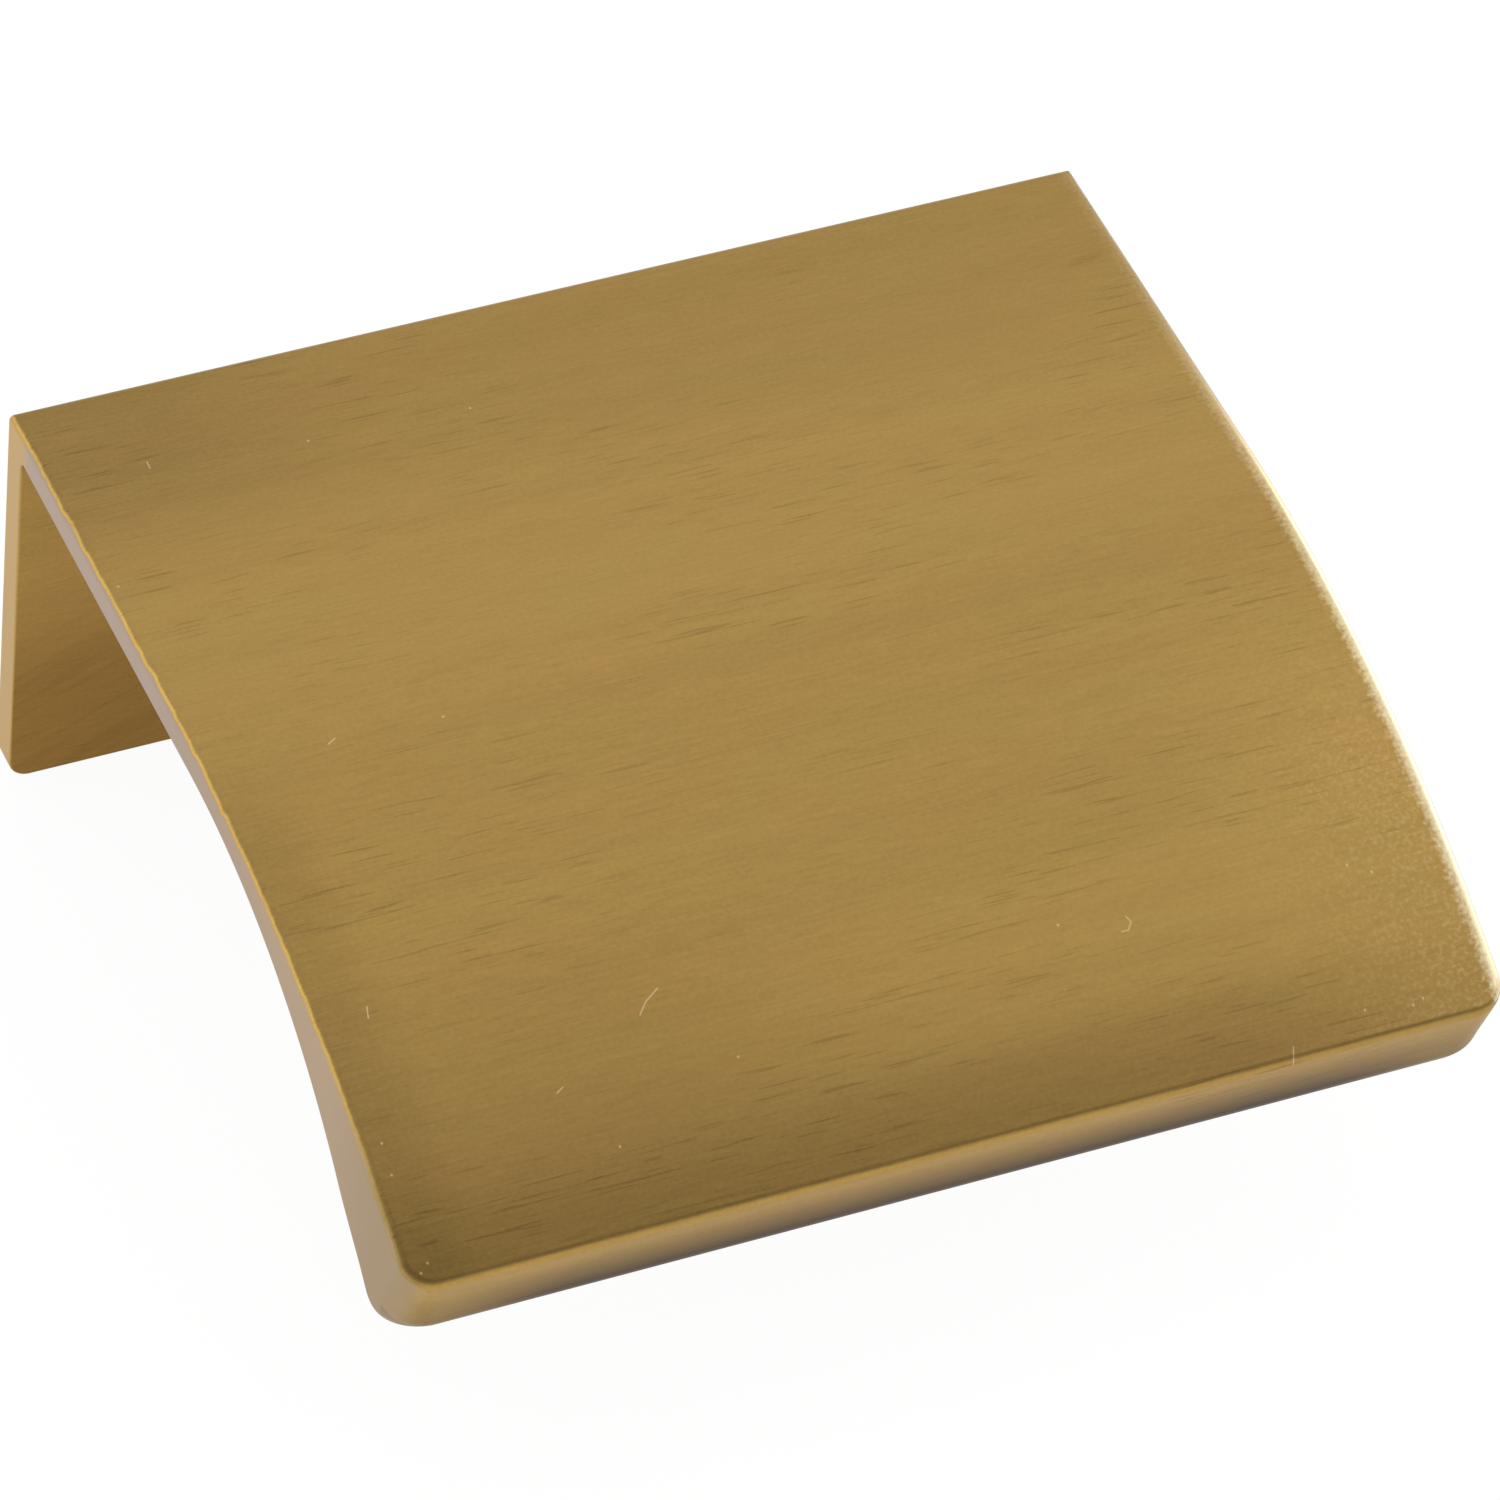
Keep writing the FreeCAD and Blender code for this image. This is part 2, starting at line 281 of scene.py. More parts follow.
def lip_corner_rows():
    """The rows that end on the lip's rounded corner, with the way outwards round it."""
    rows = []
    for turn in spread(QUARTER, 0, CORNER_STEPS):
        depth, end = corner_place(turn, LIP_CORNER, RIM)
        normal = turned(QUARTER + arch_at(depth, RIM))
        outward = LIP_NORMAL * math.cos(turn) + X_AXIS * math.sin(turn)
        rows.append((ARCH_CENTRE + normal * ARCH_RADIUS, normal, HALF - end, outward))
    return rows


def add_top(shell):
    rows = back_corner_rows() + straight_rows() + [row[:3] for row in lip_corner_rows()]
    shell.grid([[(at(x, point), normal) for x in across(width)] for point, normal, width in rows])


def rim_drops():
    """Turn, inset and height of each step down the top's rounded edge."""
    return [
        (turn, RIM * (1 - math.sin(turn)), TOP - RIM * (1 - math.cos(turn)))
        for turn in spread(0, QUARTER, RIM_STEPS)
    ]


def add_back_rim(shell):
    """The rounded edge along the back of the top face, and its two corners."""
    edge = []
    corner = []
    for turn, inset, height in rim_drops():
        place = in_section(BACK - inset, height)
        normal = Z_AXIS * math.cos(turn) + Y_AXIS * math.sin(turn)
        edge.append([(at(x, place), normal) for x in across(HALF - inset - EDGE)])
        row = []
        for swung in spread(0, QUARTER, END_STEPS):
            side = Vector((math.sin(swung), math.cos(swung), 0))
            x = HALF - inset - EDGE * (1 - side.x)
            y = BACK - inset - EDGE * (1 - side.y)
            row.append((Vector((x, y, height)), Z_AXIS * math.cos(turn) + side * math.sin(turn)))
        corner.append(row)
    shell.grid(edge)
    shell.grid(corner)


def add_end_rim(shell):
    """The rounded edge of the top face along its end, round the lip's corner and along the lip."""
    first = []
    for turn, inset, height in rim_drops():
        place = Vector((HALF - inset, BACK - inset - EDGE, height))
        first.append((place, Z_AXIS * math.cos(turn) + X_AXIS * math.sin(turn)))
    band = [first]
    stations = [(point, normal, width, X_AXIS) for point, normal, width in straight_rows()]
    stations += lip_corner_rows()
    point, normal, width, outward = stations[-1]
    stations += [(point, normal, x, outward) for x in reversed(across(width)[:-1])]
    for point, normal, x, side in stations:
        centre = at(x, point - normal * RIM)
        band.append([(centre + way * RIM, way) for way in swing(normal, side, RIM_STEPS)])
    shell.grid(band)
    return [row[-1] for row in band]


def underside_rows():
    """The lip's face, nose and underside, back to the leg: point, normal and end rounding."""
    rows = []
    for share in spread(FACE_START, 1, FACE_STEPS):
        run = mixed(LIP_CORNER, NOSE_CORNER, eased(share))
        rows.append((LIP_TOP.lerp(LIP_FOOT, share), LIP_NORMAL, run, run))
    first = math.pi + LIP_LEAN
    last = 3 * QUARTER + UNDER_SLOPE
    for angle in spread(first, last, NOSE_STEPS)[1:]:
        share = (angle - first) / (last - first)
        fade = eased(share)
        inset = mixed(NOSE_CORNER, UNDER_CORNER, fade)
        run = mixed(mixed(NOSE_CORNER, NOSE_RUN, eased(share / NOSE_EASE)), UNDER_CORNER, fade)
        rows.append((NOSE_CENTRE + turned(angle) * NOSE_RADIUS, turned(angle), inset, run))
    behind = turned(UNDER_SLOPE - QUARTER)
    for share in spread(0, 1, SLOPE_STEPS)[1:]:
        edge = mixed(UNDER_CORNER, EDGE, eased(share))
        rows.append((NOSE_BACK.lerp(SLOPE_TOP, share), behind, edge, edge))
    for angle in spread(UNDER_SLOPE, 0, VAULT_STEPS)[1:]:
        way = turned(QUARTER + angle)
        rows.append((VAULT_CENTRE + way * VAULT_RADIUS, -way, EDGE, EDGE))
    fillet = in_section(-INNER_RADIUS, UNDER - INNER_RADIUS)
    for angle in spread(QUARTER, 0, FILLET_STEPS):
        rows.append((fillet + turned(angle) * INNER_RADIUS, -turned(angle), EDGE, EDGE))
    return rows


def end_round(point, normal, inset, run):
    """From one surface round to the flat end: places and normals."""
    rounding = []
    for turn in spread(0, QUARTER, END_STEPS):
        place = at(HALF - run * (1 - math.sin(turn)), point - normal * inset * (1 - math.cos(turn)))
        facing = normal * (math.cos(turn) / inset) + X_AXIS * (math.sin(turn) / run)
        rounding.append((place, facing.normalized()))
    return rounding


def add_underside(shell, top_side):
    """From the rim on the lip's face down, round the nose and back to the leg."""
    rim_run = top_side[-(CORNER_STEPS + 1 + COLUMNS) : -COLUMNS]
    corner_end = rim_run[-1][0]
    rim_row = [(at(x, corner_end), LIP_NORMAL) for x in across(corner_end.x)]
    rows = [rim_row + rim_run[::-1][1:]]
    for point, normal, inset, run in underside_rows():
        row = [(at(x, point), normal) for x in across(HALF - run)]
        rows.append(row + end_round(point, normal, inset, run)[1:])
    shell.grid(rows)
    return [row[-1] for row in rows[1:]]


def foot_rows(y, normal):
    """Down one face of the leg, round the corner of its foot and in to the pull's middle."""
    rows = []
    for turn in spread(QUARTER, 0, CORNER_STEPS):
        depth, end = corner_place(turn, FOOT_CORNER, EDGE)
        side = X_AXIS * math.sin(turn) - Z_AXIS * math.cos(turn)
        rows.append((in_section(y, FOOT + depth), normal, HALF - end, side))
    point, normal, width, side = rows[-1]
    return rows + [(point, normal, x, side) for x in reversed(across(width)[:-1])]


def edge_band(shell, rows):
    """The small break along an edge, from the face's last rows round to the next face."""
    band = []
    for point, normal, x, side in rows:
        centre = at(x, point - normal * EDGE)
        band.append([(centre + way * EDGE, way) for way in swing(normal, side, END_STEPS)])
    shell.grid(band)
    return [row[-1] for row in band]


def hole_ways():
    """Directions outwards all round a hole, the first one again at the end."""
    angles = spread(0, 4 * QUARTER, HOLE_STEPS)
    return [X_AXIS * math.cos(angle) + Z_AXIS * math.sin(angle) for angle in angles]


def hole_loop(y, radius):
    centre = Vector((HOLE_OFFSET, y, 0))
    return [centre + out * radius for out in hole_ways()[:-1]]


def add_hole(shell):
    """A plain bore from the door face, then the countersink out to the leg's back."""
    seat = BACK - (HEAD_RADIUS - HOLE_RADIUS)
    for low, high, small, large in (
        (0, seat, HOLE_RADIUS, HOLE_RADIUS),
        (seat, BACK, HOLE_RADIUS, HEAD_RADIUS),
    ):
        flare = math.atan2(large - small, high - low)
        rows = []
        for y, radius in ((low, small), (high, large)):
            row = []
            for out in hole_ways():
                place = Vector((HOLE_OFFSET, y, 0)) + out * radius
                row.append((place, Y_AXIS * math.sin(flare) - out * math.cos(flare)))
            rows.append(row)
        shell.grid(rows)


def add_leg_face(shell, top, normal, radius):
    """One upright face of the leg with its two holes and the break round its edge."""
    rows = foot_rows(top.y, normal)
    outline = [at(x, top) for x in across(HALF - EDGE)] + [at(x, point) for point, _, x, _ in rows]
    shell.plane([outline, hole_loop(top.y, radius)], normal)
    return edge_band(shell, [(top, normal, HALF - EDGE, X_AXIS)] + rows)


def make_pull():
    shell = Shell()
    add_top(shell)
    add_back_rim(shell)
    top_side = add_end_rim(shell)
    under_side = add_underside(shell, top_side)
    door_side = add_leg_face(shell, in_section(0, UNDER - INNER_RADIUS), -Y_AXIS, HOLE_RADIUS)
    back_side = add_leg_face(shell, in_section(BACK, TOP - RIM), Y_AXIS, HEAD_RADIUS)
    add_hole(shell)
    foot_count = CORNER_STEPS + 1 + COLUMNS
    shell.grid([door_side[-foot_count:], back_side[-foot_count:]])

    # The flat end, from the back over the top and down to the foot's corner.
    rounded = COLUMNS + CORNER_STEPS
    end_loop = top_side[:-rounded] + under_side + [door_side[1], back_side[1], back_side[0]]
    shell.plane([[place for place, normal in end_loop]], X_AXIS)
    return shell.piece("pull")


pull = make_pull()
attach(pull, "root")
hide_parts(NODE)


def srgb(*levels):
    """Linear colour from the levels that a screen shows, 0 to 255."""
    shares = [level / 255 for level in levels]
    return (*[s / 12.92 if s < 0.04 else ((s + 0.055) / 1.055) ** 2.4 for s in shares], 1)


class Nodes:
    """Builds one node tree; a value is a number, a colour or another node's socket."""

    def __init__(self, tree):
        self.tree = tree

    def add(self, kind, **settings):
        node = self.tree.nodes.new(kind)
        for name, value in settings.items():
            setattr(node, name, value)
        return node

    def plug(self, socket, value):
        if isinstance(value, bpy.types.NodeSocket):
            self.tree.links.new(value, socket)
        else:
            socket.default_value = value

    def plug_all(self, node, values):
        """Values into the node's inputs, by their number or name."""
        for key, value in values.items():
            self.plug(node.inputs[key], value)

    def math(self, operation, *values):
        node = self.add("ShaderNodeMath", operation=operation)
        self.plug_all(node, dict(enumerate(values)))
        return node.outputs[0]

    def product(self, *values):
        total = values[0]
        for value in values[1:]:
            total = self.math("MULTIPLY", total, value)
        return total

    def nearest(self, distances):
        least = distances[0]
        for distance in distances[1:]:
            least = self.math("MINIMUM", least, distance)
        return least

    def vector(self, operation, first, second):
        node = self.add("ShaderNodeVectorMath", operation=operation)
        self.plug_all(node, {0: first, 1: second})
        return node.outputs["Value" if operation in ("DOT_PRODUCT", "DISTANCE") else "Vector"]

    def scaled(self, vector, factor):
        node = self.add("ShaderNodeVectorMath", operation="SCALE")
        self.plug_all(node, {0: vector, "Scale": factor})
        return node.outputs["Vector"]

    def parts(self, vector):
        """The vector's X, Y and Z."""
        node = self.add("ShaderNodeSeparateXYZ")
        self.plug(node.inputs[0], vector)
        return node.outputs

    def ramp(self, value, span, results=(0, 1), smooth=True):
        """Step from the first result at the span's start to the second at its end."""
        kind = "SMOOTHSTEP" if smooth else "LINEAR"
        node = self.add("ShaderNodeMapRange", interpolation_type=kind)
        self.plug_all(node, dict(enumerate((value, *span, *results))))
        return node.outputs[0]

    def rest(self, share):
        """What a share leaves, by a smooth step."""
        return self.ramp(share, (1, 0))

    def blend(self, share, first, second, kind="MIX"):
        """Two colours mixed; inputs 6 and 7 and output 2 are the node's colours."""
        node = self.add("ShaderNodeMix", data_type="RGBA", blend_type=kind)
        self.plug_all(node, {0: share, 6: first, 7: second})
        return node.outputs[2]

    def tint(self, share, colour, factor):
        return self.blend(share, colour, (*factor, 1), "MULTIPLY")

    def noise(self, place, waves, detail=2):
        """Noise about a half, with so many waves to the millimetre along X, Y and Z."""
        node = self.add("ShaderNodeTexNoise")
        stretched = self.vector("MULTIPLY", place, waves)
        self.plug_all(node, {"Vector": stretched, "Scale": 1, "Detail": detail})
        return node.outputs["Fac"]

    def line_distance(self, place, first, second):
        """Distance from a straight line between two points of the plan."""
        start = Vector((*first, 0))
        run = Vector((*second, 0)) - start
        offset = self.vector("SUBTRACT", place, tuple(start))
        along = self.vector("DOT_PRODUCT", offset, tuple(run / run.length_squared))
        share = self.add("ShaderNodeClamp")
        self.plug(share.inputs["Value"], along)
        return self.vector("DISTANCE", offset, self.scaled(tuple(run), share.outputs[0]))


def new_material(name):
    material = bpy.data.materials.new(name)
    material.use_nodes = True
    tree = material.node_tree
    return material, Nodes(tree), tree.nodes["Principled BSDF"]


# The finish. Places are millimetres and directions are parts of the unit normal. A
# pair runs from where something starts to where it is full, and a strength is a
# share of the finish's brightness.

BRASS = (srgb(165, 137, 76), srgb(171, 135, 77))
ROUGHNESS = 0.38
BUMP_STRENGTH = 0.15
BUMP_HEIGHT = 0.01 * MM

# The sawn ends, from the back to the lip, and the leg's own end: paler cut metal, with painted
# reflection and shade in how the colour changes from back to front.
CUT_BACK = srgb(188, 166, 146)
CUT_MIDDLE = srgb(202, 174, 140)
CUT_FRONT = srgb(187, 161, 121)
CUT_LEG = srgb(208, 171, 104)
MIDDLE_REACH = (-16, -34)
FRONT_REACH = (-36, -43)
LEG_REACH = (-1, 0)

# Painted highlight on the edge between the top and the sawn end, brighter at the back.
RIM_HIGHLIGHT_BACK = srgb(222, 182, 98)
RIM_HIGHLIGHT_FRONT = srgb(180, 154, 92)
RIM_HIGHLIGHT_SIDE = (0.5, 0.74)
RIM_RISE = (0.1, 0.3)

# How far sideways a surface looks to count as a sawn end, where it looks up and where
# it doesn't, and how much the border ripples.
RIPPLE = 0.4
UPPER_RISE = (0, 0.2)
UPPER_END = (0.78, 0.9)
LOWER_END = (0.2, 0.95)

# The top face, the lip's face and the leg's inner face, which carries painted shade over its fall.
TOP_RISE = (0.6, 0.8)
FRONT_DEPTH = (-0.35, -0.75)
FRONT_PLACE = (-30, -36)
LEG_PLACE = (-0.5, -0.1)
LEG_DEPTH = (-0.6, -0.9)
LEG_FALL = (3, -6)

# Waves of the noises, to the millimetre along X, Y and Z.
RIPPLE_WAVES = (0.3, 1.1, 0.3)
CLOUD_WAVES = (0.12, 0.3, 0.3)
FINE_WAVES = (0.5, 9, 9)
BAND_WAVES = (0.03, 0.7, 0.7)
PATCH_WAVES = (0.07, 0.16, 0.16)
STROKE_WAVES = (0.32, 7, 7)
GRAIN_WAVES = (5, 5, 5)
WIPE_WAVES = (0.12, 1, 1.6)

# Brushing: strengths, and the levels of the noise that count.
FINE_TONE = 0.24
BAND_TONE = 0.1
GRAIN_TONE = 0.2
STROKE_TONE = 0.2
STROKE_LEVELS = (0.4, 0.28)
PATCH_LEVELS = (0.42, 0.62)
PATCH_FLOOR = 0.25
WIPE_TONE = 0.09
WIPE_LEVELS = (0.45, 0.65)
WIPE_SLANT = math.radians(24)

# Painted sheen and shade on the top: strength, then the pairs across X and along Y. The right front
# corner's patch also places the sand.
SAND_AND_SHEEN_CORNER = (0.2, [(12, 25)], [(-22, -38)])
SHADED_BACK_CORNER = (-0.13, [(-9, -21)], [(-12, -2)])
LIT_LAND = (0.13, [], [(-2, -13), (-25, -18)])
SHADED_LEFT_BORDER = (-0.14, [(-21, -24.5)], [(-20, -28)])
LIT_BROW = (0.15, [(-14, 2), (23, 15)], [(-33, -39), (-44, -41)])
# Painted shade where the top rolls over to the lip.
ROLL_SHADE = 0.16
ROLL_PLACE = (-41, -45.7)
ROLL_RISE = (0.3, 0.6)

# Painted light and shade on the lip's face: lighter at its top, darker towards its nose, less so at
# its ends, and darker on the right.
LIP_LIT_TINT = (1.38, 1.36, 1.2, 1)
LIP_SHADED_TINT = (0.18, 0.15, 0.1, 1)
LIP_FALL = (2.6, -0.3)
LIP_ENDS = (17, 25)
LIP_END_SHARE = 0.45
LIP_EDGE = (3.5, 3.1)
LIP_RIGHT = (0.88, 0.88, 0.93)
RIGHT_REACH = (4, 19)

# Painted light and shade on the leg's inner face: lighter below its fillet, darker down to its foot.
INNER_LIT_TINT = (1.3, 1.26, 1.2, 1)
INNER_SHADED_TINT = (0.97, 0.87, 0.72, 1)
INNER_EDGE = (9.2, 8.6)

# Sand at the right front corner, a painted glint along the right edge in front, and painted shade on
# that edge at the back.
SAND = srgb(212, 188, 134)
SAND_SHARE = 0.3
SAND_LEVELS = (0.46, 0.74)
RIGHT_EDGE_GLINT = srgb(240, 222, 180)
GLINT_PLACE = (24.45, 25.1)
GLINT_REACH = (-4, -34)
GLINT_FLOOR = 0.1
RAGGED = 0.6
RIGHT_BACK_SHADE = (0.5, 0.52, 0.6)
BACK_SHADE_SIDE = (0.15, 0.4)
BACK_SHADE_REACH = (-26, -10)

# Small marks on the top face, in the plan.
MARK = srgb(235, 215, 170)
MARK_SHARE = 0.5
MARK_RISE = (-0.3, -0.2)
HAIR_WIDTH = (0.045, 0.013)
SPECK_WIDTH = (0.08, 0.03)
HAIRS = (
    ((-10.73, -36.91), (-11.43, -37.34)),
    ((-11.43, -37.34), (-11.87, -37.81)),
    ((-22.95, -34.61), (-23.07, -35.11)),
    ((-16.16, -39.88), (-16.49, -40.05)),
    ((9.68, -39.43), (9.99, -39.43)),
    ((9.99, -39.43), (10.24, -39.13)),
    ((10.24, -39.13), (10.11, -38.87)),
    ((-20.86, -3.29), (-20.87, -3.72)),
    ((-19.37, -21.67), (-19.76, -21.90)),
    ((15.25, -45.49), (15.07, -46.04)),
)
SPECKS = (
    (-8.44, -40.46),
    (-14.67, -42.7),
    (-24.42, -40.25),
    (-24.47, -41.55),
    (7.08, -38.51),
    (21.07, -45.12),
    (18.9, -44.84),
    (21.6, -44.96),
    (20.43, -39.08),
    (21.39, -39.6),
    (-14.53, -21.93),
    (-24.8, -10.2),
    (-13.74, -4.29),
    (-6.27, -4.61),
    (-24.6, -45.4),
    (-24.2, -45.1),
)


class Finish:
    """The brushed brass tone: masks for each kind of surface, and the colours on them, painted light
    and shade among them.
    """

    def __init__(self, nodes):
        self.nodes = nodes
        source = nodes.add("ShaderNodeTexCoord")
        self.place = nodes.scaled(source.outputs["Object"], 1 / MM)
        self.x, self.y, self.z = nodes.parts(self.place)
        self.side, self.depth, self.rise = nodes.parts(source.outputs["Normal"])
        self.fine = nodes.noise(self.place, FINE_WAVES)
        self.grain = nodes.noise(self.place, GRAIN_WAVES, 1)
        self.top = nodes.ramp(self.rise, TOP_RISE)
        self.raised = nodes.ramp(self.rise, RIM_RISE)
        self.lowering = nodes.ramp(self.z, LEG_FALL)
        self.leg = nodes.product(nodes.ramp(self.y, LEG_PLACE), nodes.ramp(self.depth, LEG_DEPTH))
        self.find_ends()
        # The right front corner: a painted sheen there, and where the sand lies.
        self.corner = self.patch(*SAND_AND_SHEEN_CORNER[1:])

    def find_ends(self):
        """The sawn ends, with a slightly rippled border, and the painted highlight on the rim above
        them.
        """
        nodes = self.nodes
        ripple = nodes.math("MULTIPLY_ADD", nodes.noise(self.place, RIPPLE_WAVES), RIPPLE, -RIPPLE / 2)
        edgeward = nodes.math("ADD", nodes.math("ABSOLUTE", self.side), ripple)
        upper = nodes.ramp(self.rise, UPPER_RISE)
        span = [nodes.ramp(upper, (0, 1), results) for results in zip(LOWER_END, UPPER_END)]
        self.end = nodes.ramp(edgeward, span)
        self.off_end = nodes.rest(self.end)
        self.painted_rim_highlight = nodes.product(nodes.ramp(edgeward, RIM_HIGHLIGHT_SIDE), self.raised, self.off_end)

    def patch(self, across_pairs, along_pairs):
        """Share of one part of the top face."""
        ramps = [self.nodes.ramp(self.x, pair) for pair in across_pairs]
        ramps += [self.nodes.ramp(self.y, pair) for pair in along_pairs]
        return self.nodes.product(self.top, *ramps)

    def metal(self):
        """Colour of the finish, of the sawn ends and of the painted highlight on the edge between
        them.
        """
        nodes = self.nodes
        brass = nodes.blend(nodes.noise(self.place, CLOUD_WAVES), *BRASS)
        cut = nodes.blend(nodes.ramp(self.y, MIDDLE_REACH), CUT_BACK, CUT_MIDDLE)
        cut = nodes.blend(nodes.ramp(self.y, FRONT_REACH), cut, CUT_FRONT)
        cut = nodes.blend(nodes.ramp(self.y, LEG_REACH), cut, CUT_LEG)
        rim_highlight_colour = nodes.blend(nodes.ramp(self.y, FRONT_REACH), RIM_HIGHLIGHT_BACK, RIM_HIGHLIGHT_FRONT)
        return nodes.blend(self.painted_rim_highlight, nodes.blend(self.end, brass, cut), rim_highlight_colour)

    def strokes(self):
        """Short dark strokes along the pull, thicker in some patches than in others."""
        nodes = self.nodes
        patches = nodes.ramp(nodes.noise(self.place, PATCH_WAVES, 0), PATCH_LEVELS)
        strokes = nodes.ramp(nodes.noise(self.place, STROKE_WAVES, 1), STROKE_LEVELS)
        return nodes.product(strokes, nodes.ramp(patches, (0, 1), (PATCH_FLOOR, 1)))

    def wipes(self):
        """Slanting wipe marks on the leg's inner face."""
        nodes = self.nodes
        slanted = nodes.add("ShaderNodeVectorRotate", rotation_type="Y_AXIS")
        nodes.plug_all(slanted, {"Vector": self.place, "Angle": WIPE_SLANT})
        wipes = nodes.ramp(nodes.noise(slanted.outputs[0], WIPE_WAVES, 1), WIPE_LEVELS)
        return nodes.product(wipes, self.leg, self.lowering)

    def tone(self):
        """Brightness of the brushing, with painted sheen and shade on the top; the sawn ends stay
        plain.
        """
        nodes = self.nodes
        painted_roll_shade = nodes.product(nodes.ramp(self.y, ROLL_PLACE), nodes.ramp(self.rise, ROLL_RISE))
        layers = [
            (FINE_TONE, self.fine),
            (BAND_TONE, nodes.noise(self.place, BAND_WAVES, 0)),
            (GRAIN_TONE, self.grain),
            (-STROKE_TONE, self.strokes()),
            (-WIPE_TONE, self.wipes()),
            (-ROLL_SHADE, painted_roll_shade),
            (SAND_AND_SHEEN_CORNER[0], self.corner),
        ]
        for strength, *pairs in (SHADED_BACK_CORNER, LIT_LAND, SHADED_LEFT_BORDER, LIT_BROW):
            layers.append((strength, self.patch(*pairs)))
        tone = 1 - (FINE_TONE + BAND_TONE + GRAIN_TONE) / 2
        for strength, share in layers:
            tone = nodes.math("MULTIPLY_ADD", share, strength, tone)
        return nodes.blend(self.end, tone, (1, 1, 1, 1))

    def lip_shade(self, colour):
        """Painted shade on the lip's face, darker towards its nose, with painted light at its top."""
        nodes = self.nodes
        middle = nodes.ramp(nodes.math("ABSOLUTE", self.x), LIP_ENDS, (1, LIP_END_SHARE))
        fall = nodes.product(nodes.ramp(self.z, LIP_FALL, smooth=False), middle)
        shade = nodes.blend(fall, LIP_LIT_TINT, LIP_SHADED_TINT)
        shade = nodes.tint(nodes.ramp(self.x, RIGHT_REACH), shade, LIP_RIGHT)
        front = nodes.product(nodes.ramp(self.depth, FRONT_DEPTH), nodes.ramp(self.y, FRONT_PLACE))
        share = nodes.product(front, nodes.ramp(self.z, LIP_EDGE), self.off_end)
        return nodes.blend(share, colour, shade, "MULTIPLY")

    def leg_shade(self, colour):
        """Painted shade on the leg's inner face, darker towards its foot, with painted light above."""
        nodes = self.nodes
        shade = nodes.blend(self.lowering, INNER_LIT_TINT, INNER_SHADED_TINT)
        share = nodes.product(self.leg, nodes.ramp(self.z, INNER_EDGE), self.off_end)
        return nodes.blend(share, colour, shade, "MULTIPLY")

    def sand_and_edge_light(self, colour):
        """Sand at the right front corner, and the painted glint and painted shade on the right edge.
        """
        nodes = self.nodes
        sand = nodes.ramp(nodes.noise(self.place, GRAIN_WAVES), SAND_LEVELS)
        colour = nodes.blend(nodes.product(sand, self.corner, self.corner, SAND_SHARE), colour, SAND)
        # Painted glint along the right edge, strongest in front, with a ragged border.
        ragged = nodes.math("MULTIPLY_ADD", self.grain, RAGGED, nodes.math("ADD", self.x, -RAGGED / 2))
        reach = nodes.ramp(self.y, GLINT_REACH, (GLINT_FLOOR, 1))
        glint = nodes.product(nodes.ramp(ragged, GLINT_PLACE), reach, self.raised)
        colour = nodes.blend(glint, colour, RIGHT_EDGE_GLINT)
        # Painted shade on the right edge and the right end towards the back.
        back_shade = nodes.product(nodes.ramp(self.side, BACK_SHADE_SIDE), nodes.ramp(self.y, BACK_SHADE_REACH))
        return nodes.tint(back_shade, colour, RIGHT_BACK_SHADE)

    def marks(self, colour):
        """A few light hairs and specks of dust."""
        nodes = self.nodes
        plan = nodes.vector("MULTIPLY", self.place, (1, 1, 0))
        hairs = nodes.nearest([nodes.line_distance(plan, *ends) for ends in HAIRS])
        specks = nodes.nearest([nodes.vector("DISTANCE", plan, (*centre, 0)) for centre in SPECKS])
        share = nodes.math("MAXIMUM", nodes.ramp(hairs, HAIR_WIDTH), nodes.ramp(specks, SPECK_WIDTH))
        share = nodes.product(share, nodes.ramp(self.rise, MARK_RISE), MARK_SHARE)
        return nodes.blend(share, colour, MARK)


def brushed_brass():
    material, nodes, shader = new_material("brushed_brass")
    finish = Finish(nodes)
    colour = nodes.blend(1, finish.metal(), finish.tone(), "MULTIPLY")
    colour = finish.leg_shade(finish.lip_shade(colour))
    colour = finish.marks(finish.sand_and_edge_light(colour))
    bump = nodes.add("ShaderNodeBump")
    nodes.plug_all(bump, {"Strength": BUMP_STRENGTH, "Distance": BUMP_HEIGHT, "Height": finish.fine})
    nodes.plug_all(
        shader,
        {"Base Color": colour, "Normal": bump.outputs[0], "Metallic": 1, "Roughness": ROUGHNESS},
    )
    return material


pull.data.materials.append(brushed_brass())


# The floor lies a little under the foot. The camera sees nearly its plain white glow,
# reflections see about half of it, and other rays meet a pale matt floor.
FLOOR_HALF = 3
FLOOR_GAP = 0.05 * MM
FLOOR_COLOUR = srgb(245, 245, 245)
FLOOR_ROUGHNESS = 0.9
FLOOR_GLOW = 1.05
CAMERA_SHARE = 0.9
MIRRORED_SHARE = 0.45


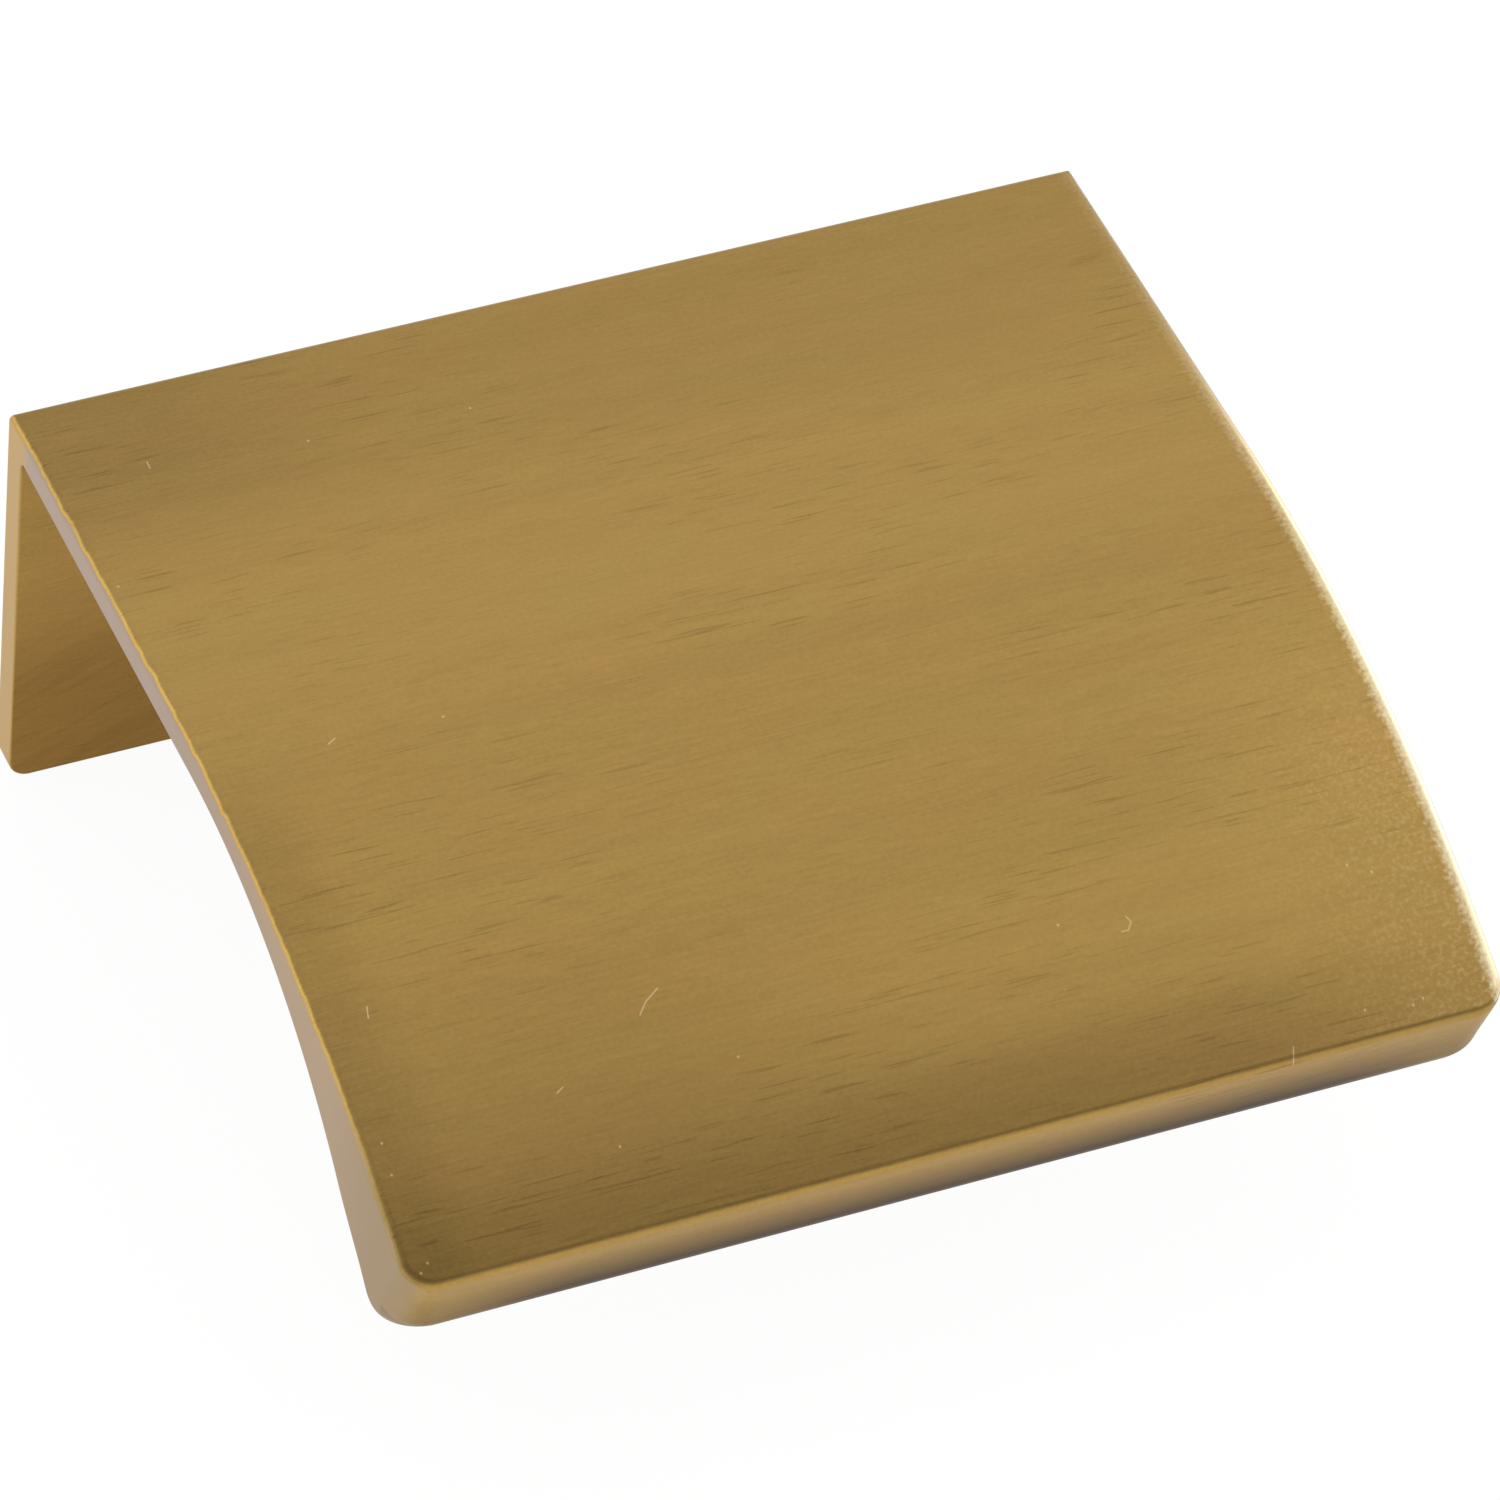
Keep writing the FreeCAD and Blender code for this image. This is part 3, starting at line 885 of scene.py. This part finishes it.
def floor_material():
    """White to the camera, pale to other rays, and clear from underneath."""
    material, nodes, shader = new_material("floor")
    nodes.plug_all(shader, {"Base Color": FLOOR_COLOUR, "Roughness": FLOOR_ROUGHNESS})
    path = nodes.add("ShaderNodeLightPath").outputs
    mirrored = nodes.math("MAXIMUM", path["Is Glossy Ray"], path["Is Transmission Ray"])
    mirrored = nodes.product(mirrored, MIRRORED_SHARE)
    share = nodes.math("MULTIPLY_ADD", path["Is Camera Ray"], CAMERA_SHARE, mirrored)
    white = nodes.add("ShaderNodeEmission")
    nodes.plug(white.inputs["Strength"], FLOOR_GLOW)
    above = nodes.add("ShaderNodeMixShader")
    nodes.plug_all(above, {0: share, 1: shader.outputs[0], 2: white.outputs[0]})
    beneath = nodes.add("ShaderNodeNewGeometry").outputs["Backfacing"]
    clear = nodes.add("ShaderNodeBsdfTransparent")
    surface = nodes.add("ShaderNodeMixShader")
    nodes.plug_all(surface, {0: beneath, 1: above.outputs[0], 2: clear.outputs[0]})
    nodes.plug(material.node_tree.nodes["Material Output"].inputs["Surface"], surface.outputs[0])
    return material


def add_floor():
    size = FLOOR_HALF
    z = FOOT - FLOOR_GAP
    mesh = bpy.data.meshes.new("floor")
    corners = [(-size, -size, z), (size, -size, z), (size, size, z), (-size, size, z)]
    mesh.from_pydata(corners, [], [(0, 1, 2, 3)])
    floor = bpy.data.objects.new("floor", mesh)
    bpy.context.scene.collection.objects.link(floor)
    floor.data.materials.append(floor_material())


add_floor()

# The studio's brightness by direction: behind, in front and from the walls up.
STUDIO_BACK = (0.4, 0.75)
BACK_LEVELS = (1.04, 0.8)
STUDIO_FRONT = (-0.45, 0.2)
FRONT_LEVELS = (0.38, 1)
DOME_START = (0.1, 0.4)


def add_world():
    """A pale studio, dim high in front and a little dim behind; white where the camera sees it."""
    world = bpy.data.worlds.new("world")
    world.use_nodes = True
    nodes = Nodes(world.node_tree)
    sky = world.node_tree.nodes["Background"]
    y, z = nodes.parts(nodes.add("ShaderNodeTexCoord").outputs["Generated"])[1:]
    back = nodes.ramp(y, STUDIO_BACK, BACK_LEVELS)
    front = nodes.ramp(y, STUDIO_FRONT, FRONT_LEVELS)
    dome = nodes.ramp(z, DOME_START)
    level = nodes.math("ADD", nodes.product(back, front, dome), nodes.math("SUBTRACT", 1, dome))
    camera_ray = nodes.add("ShaderNodeLightPath").outputs["Is Camera Ray"]
    nodes.plug(sky.inputs["Strength"], nodes.math("MAXIMUM", level, camera_ray))
    nodes.plug(sky.inputs["Color"], (1, 1, 1, 1))
    bpy.context.scene.world = world


add_world()


def add_lamp(name, place, aim, size, power):
    """A square soft lamp turned to a point."""
    data = bpy.data.lights.new(name, "AREA")
    data.size = size
    data.energy = power
    lamp = bpy.data.objects.new(name, data)
    lamp.location = place
    lamp.rotation_euler = (Vector(place) - Vector(aim)).to_track_quat("Z", "Y").to_euler()
    bpy.context.scene.collection.objects.link(lamp)


# A wide low lamp behind on the right, and a weak one in front on the right.
add_lamp("right_lamp", place=(0.54, 0.2, 0.12), aim=(0.02, -0.03, 0), size=0.35, power=1.1)
add_lamp("key_lamp", place=(0.25, -0.16, 0.26), aim=(0.01, -0.03, 0), size=0.2, power=0.11)

# The camera of the photograph.
AIM = Vector((0.83, -20.68, 2.77)) * MM
DISTANCE = 476.1 * MM
AZIMUTH = math.radians(-27.27)
ELEVATION = math.radians(44.341)
ROLL = math.radians(5.865)
SENSOR = 36
LENS = 263.02
CLIP_START = 0.01


def add_camera():
    data = bpy.data.cameras.new("camera")
    data.sensor_width = SENSOR
    data.lens = LENS
    data.clip_start = CLIP_START
    camera = bpy.data.objects.new("camera", data)
    bpy.context.scene.collection.objects.link(camera)
    bpy.context.scene.camera = camera
    level = math.cos(ELEVATION)
    back = Vector((math.sin(AZIMUTH) * level, -math.cos(AZIMUTH) * level, math.sin(ELEVATION)))
    turn = Matrix.Rotation(ROLL, 3, back)
    right = turn @ Z_AXIS.cross(back).normalized()
    up = back.cross(right)
    spin = Matrix((right, up, back)).transposed().to_4x4()
    camera.matrix_world = Matrix.Translation(AIM + back * DISTANCE) @ spin


add_camera()
bpy.context.scene.view_settings.view_transform = "Standard"
